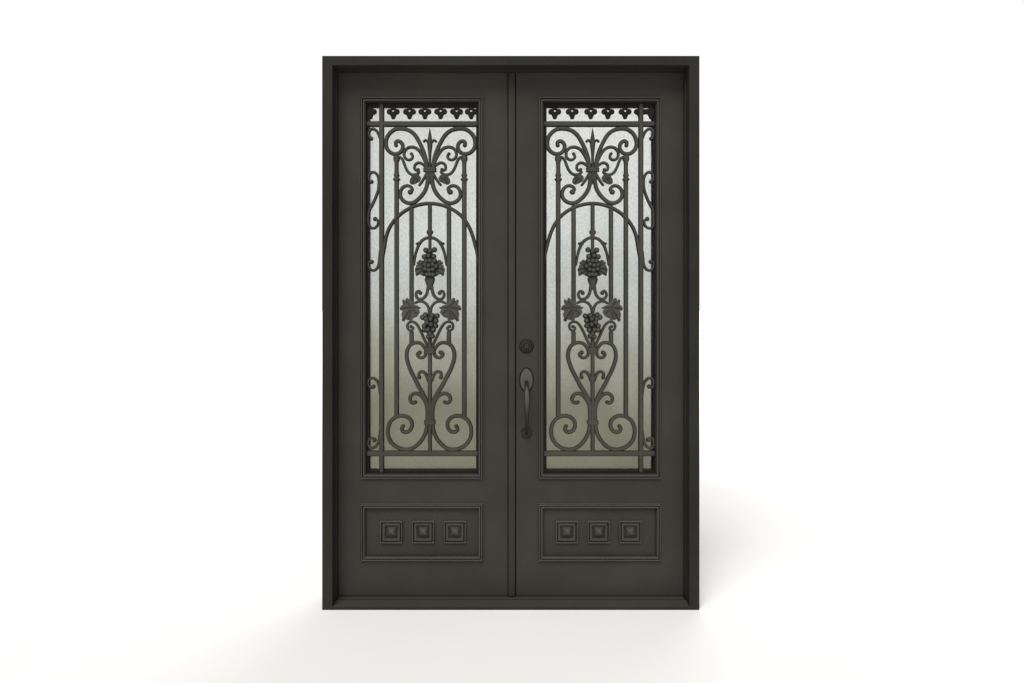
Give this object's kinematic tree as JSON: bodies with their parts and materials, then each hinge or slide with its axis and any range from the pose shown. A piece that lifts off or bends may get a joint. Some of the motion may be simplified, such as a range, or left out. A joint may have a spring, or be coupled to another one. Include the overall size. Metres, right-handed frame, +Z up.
{
  "type": "double entrance door",
  "caption": "Pair of glazed wrought-iron entrance door leaves with scrollwork grilles, grape castings, kick panels and a pull handle, hinged in a steel frame.",
  "frame": {"origin": "centre of the threshold's flat underside", "axes": "+Z up, -Y to the outside of the house, +X to the right seen from outside; at rest both leaves are closed"},
  "size_m": [1.66, 0.1903, 2.438],
  "materials": {
    "frame_paint": "satin bronze-black paint on steel",
    "leaf_paint": "satin bronze-black paint on steel",
    "grille_iron": "satin olive-bronze paint on forged bars",
    "casting_iron": "satin bronze paint on iron castings",
    "window_glass": "obscured rain-textured glass",
    "hardware_bronze": "oil-rubbed bronze, polished on the grip",
    "hinge_steel": "satin bronze-black paint on steel barrels"
  },
  "bodies": {
    "frame": {"left_jamb": "frame_paint", "right_jamb": "frame_paint", "head": "frame_paint", "threshold": "frame_paint", "left_hinge_pins": "hinge_steel", "right_hinge_pins": "hinge_steel"},
    "left_leaf": {"left_hinge_stile": "leaf_paint", "left_lock_stile": "leaf_paint", "left_top_rail": "leaf_paint", "left_middle_rail": "leaf_paint", "left_bottom_rail": "leaf_paint", "left_kick_panel": "leaf_paint", "left_mouldings": "leaf_paint", "left_glass": "window_glass", "left_glass_beads": "leaf_paint", "left_grille_bars": "grille_iron", "left_grille_scrolls": "grille_iron", "left_grapes": "casting_iron", "left_vine_leaves": "casting_iron", "left_flower_cresting": "casting_iron", "left_hinge_barrels": "hinge_steel", "astragal": "leaf_paint"},
    "right_leaf": {"right_hinge_stile": "leaf_paint", "right_lock_stile": "leaf_paint", "right_top_rail": "leaf_paint", "right_middle_rail": "leaf_paint", "right_bottom_rail": "leaf_paint", "right_kick_panel": "leaf_paint", "right_mouldings": "leaf_paint", "right_glass": "window_glass", "right_glass_beads": "leaf_paint", "right_grille_bars": "grille_iron", "right_grille_scrolls": "grille_iron", "right_grapes": "casting_iron", "right_vine_leaves": "casting_iron", "right_flower_cresting": "casting_iron", "right_hinge_barrels": "hinge_steel", "deadbolt": "hardware_bronze", "handle_plates": "hardware_bronze", "handle_grip": "hardware_bronze", "inside_lever": "hardware_bronze", "deadbolt_turn": "hardware_bronze"}
  },
  "joints": [
    {"name": "left_leaf_hinge", "type": "hinge", "parent": "frame", "child": "left_leaf", "pos_m": [-0.8025, 0.0765, 1.28], "axis": [0, 0, 1], "range_deg": [0, 100]},
    {"name": "right_leaf_hinge", "type": "hinge", "parent": "frame", "child": "right_leaf", "pos_m": [0.8025, 0.0765, 1.28], "axis": [0, 0, -1], "range_deg": [0, 100]}
  ]
}
